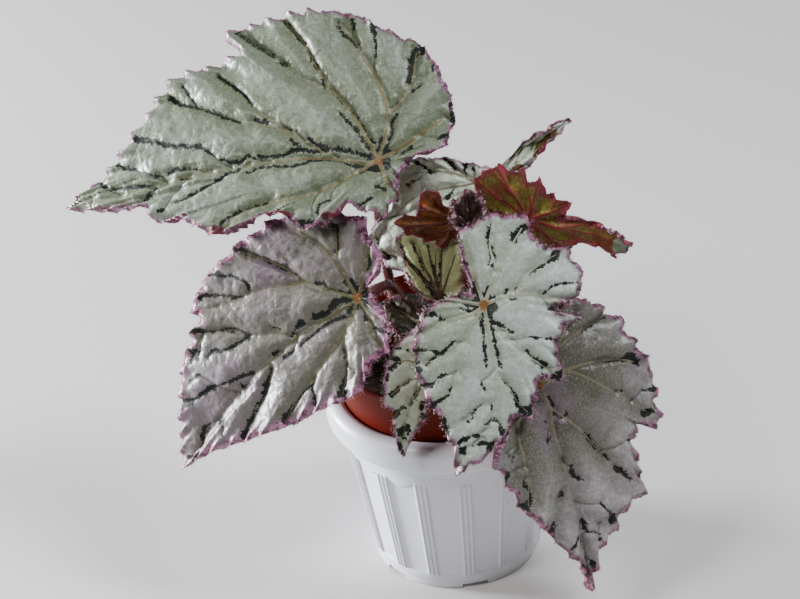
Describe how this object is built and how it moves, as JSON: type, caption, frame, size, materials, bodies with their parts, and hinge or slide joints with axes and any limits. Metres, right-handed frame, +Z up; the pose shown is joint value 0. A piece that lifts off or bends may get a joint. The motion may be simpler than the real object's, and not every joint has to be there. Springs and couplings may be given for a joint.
{
  "type": "potted rex begonia",
  "caption": "Rex begonia with large pleated silver and mauve leaves on hairy stalks, in a terracotta-coloured nursery pot inside a ribbed white cover pot.",
  "frame": {"origin": "middle of the cover pot's flat underside, on the surface it stands on", "axes": "+Z up along the pots' common axis, -Y towards the front that the picture shows, +X to the right"},
  "size_m": [0.3414, 0.2084, 0.3344],
  "materials": {
    "white_plastic": "satin moulded",
    "terracotta_plastic": "smooth moulded",
    "compost": "loose peat",
    "woody_stem": "rough bark",
    "hairy_stalk": "fleshy and hairy",
    "silver_green_leaf": "pleated, silver green",
    "silver_white_leaf": "pleated, silver white",
    "mauve_leaf": "pleated, mauve silver",
    "mint_leaf": "pleated, pale mint silver",
    "red_veined_leaf": "red veined underside",
    "brown_young_leaf": "young, orange brown",
    "olive_young_leaf": "young, deeply furrowed",
    "maroon_bud": "young, crumpled"
  },
  "bodies": {
    "root": {"pot_cover": "white_plastic", "pot_nursery": "terracotta_plastic", "soil": "compost", "creeping_stem": "woody_stem", "stalk_top_left": "hairy_stalk", "leaf_top_left": "silver_green_leaf", "stalk_left": "hairy_stalk", "leaf_left": "mauve_leaf", "stalk_front": "hairy_stalk", "leaf_front": "silver_white_leaf", "stalk_right_hanging": "hairy_stalk", "leaf_right_hanging": "mauve_leaf", "stalk_small_front": "hairy_stalk", "leaf_small_front": "silver_green_leaf", "stalk_back": "hairy_stalk", "leaf_back": "mint_leaf", "stalk_right_upright": "hairy_stalk", "leaf_right_upright": "red_veined_leaf", "stalk_young_brown": "hairy_stalk", "leaf_young_brown": "brown_young_leaf", "stalk_young_green": "hairy_stalk", "leaf_young_green": "olive_young_leaf", "stalk_bud": "hairy_stalk", "leaf_bud": "maroon_bud", "stalk_crown": "hairy_stalk", "leaf_crown": "olive_young_leaf"}
  },
  "joints": []
}
